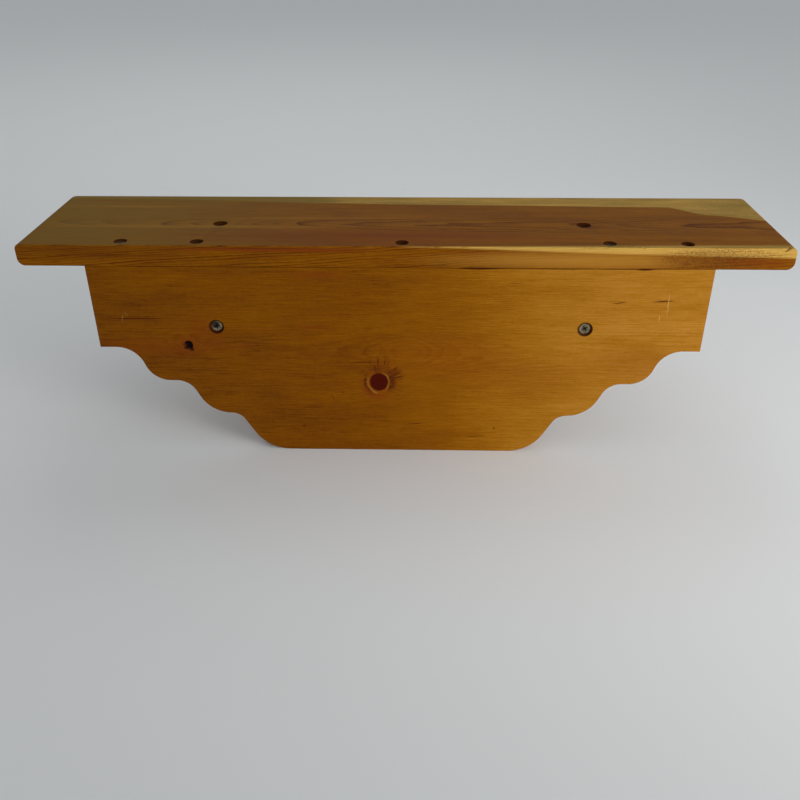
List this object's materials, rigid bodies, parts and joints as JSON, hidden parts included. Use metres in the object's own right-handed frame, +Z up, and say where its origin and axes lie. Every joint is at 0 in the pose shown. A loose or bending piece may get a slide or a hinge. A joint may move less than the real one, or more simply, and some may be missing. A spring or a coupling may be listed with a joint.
{
  "type": "wall shelf",
  "caption": "Wall shelf of varnished pine: a shelf board on a scalloped back board and two scalloped brackets, held by countersunk wood screws.",
  "frame": {"origin": "on the wall plane, on the rear face of the back board, halfway up the back board and below the middle of the shelf board's length", "axes": "+X along the shelf, to the right of someone who faces it; +Y into the wall; +Z up"},
  "size_m": [0.654, 0.14, 0.203],
  "materials": {
    "shelf_pine": "amber satin varnish over knotty pine, grain along X",
    "back_pine": "amber satin varnish over knotty pine, grain along X",
    "bracket_pine": "amber satin varnish over pine, grain along Z",
    "screw_steel": "zinc-plated steel, dulled"
  },
  "bodies": {
    "root": {"shelf_board": "shelf_pine", "back_board": "back_pine", "bracket_left": "bracket_pine", "bracket_right": "bracket_pine", "shelf_screw_1": "screw_steel", "shelf_screw_2": "screw_steel", "shelf_screw_3": "screw_steel", "shelf_screw_4": "screw_steel", "shelf_screw_5": "screw_steel", "top_screw_left": "screw_steel", "top_screw_right": "screw_steel", "rear_screw_left": "screw_steel", "rear_screw_right": "screw_steel"}
  },
  "joints": []
}
